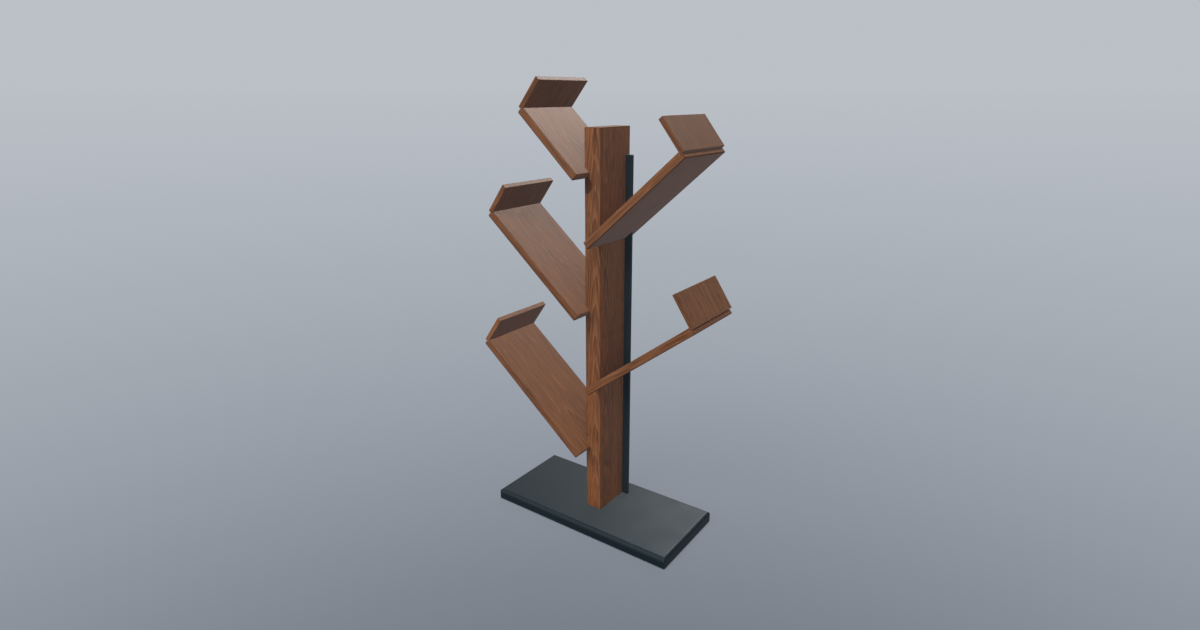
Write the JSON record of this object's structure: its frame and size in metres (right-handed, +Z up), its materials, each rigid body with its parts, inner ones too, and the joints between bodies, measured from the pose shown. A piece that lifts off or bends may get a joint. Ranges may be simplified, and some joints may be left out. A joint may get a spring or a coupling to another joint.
{
  "type": "tree bookshelf",
  "caption": "Free-standing bookshelf shaped like a tree: sloping boards with end stops branch from an upright trunk with a steel spine, on a slab base.",
  "frame": {"origin": "on the floor, under the middle of the base slab, on the felt's lower face", "axes": "+Z up the trunk, +X towards the two right-hand boards, +Y towards the steel spine at the back"},
  "size_m": [0.9572, 0.368, 1.7119],
  "materials": {
    "walnut": "satin lacquered walnut veneer",
    "slate": "satin slate paint on board",
    "spine_steel": "dark slate powder coat",
    "bare_steel": "zinc plated",
    "beech": "bare beech",
    "felt": "dark grey felt"
  },
  "bodies": {
    "root": {"base_slab": "slate", "felt_underlay": "felt", "trunk": "walnut", "rear_cover": "walnut", "spine": "spine_steel", "board_left_top": "walnut", "board_left_middle": "walnut", "board_left_low": "walnut", "board_right_top": "walnut", "board_right_low": "walnut", "end_stop_left_top": "walnut", "end_stop_left_middle": "walnut", "end_stop_left_low": "walnut", "end_stop_right_top": "walnut", "end_stop_right_low": "walnut", "pin_left_top_front": "bare_steel", "pin_left_top_rear": "bare_steel", "pin_left_middle_front": "bare_steel", "pin_left_middle_rear": "bare_steel", "pin_left_low_front": "bare_steel", "pin_left_low_rear": "bare_steel", "pin_right_top_front": "bare_steel", "pin_right_top_rear": "bare_steel", "pin_right_low_front": "bare_steel", "pin_right_low_rear": "bare_steel", "dowel_left_top_front": "beech", "dowel_left_top_rear": "beech", "dowel_left_middle_front": "beech", "dowel_left_middle_rear": "beech", "dowel_left_low_front": "beech", "dowel_left_low_rear": "beech", "dowel_right_top_front": "beech", "dowel_right_top_rear": "beech", "dowel_right_low_front": "beech", "dowel_right_low_rear": "beech", "trunk_bolt_front": "bare_steel", "trunk_bolt_rear": "bare_steel", "trunk_insert_front": "bare_steel", "trunk_insert_rear": "bare_steel", "foot_screw_1": "bare_steel", "foot_screw_2": "bare_steel", "foot_screw_3": "bare_steel", "foot_screw_4": "bare_steel", "spine_screw_1": "bare_steel", "spine_screw_2": "bare_steel", "spine_screw_3": "bare_steel", "spine_screw_4": "bare_steel", "spine_screw_5": "bare_steel"}
  },
  "joints": []
}
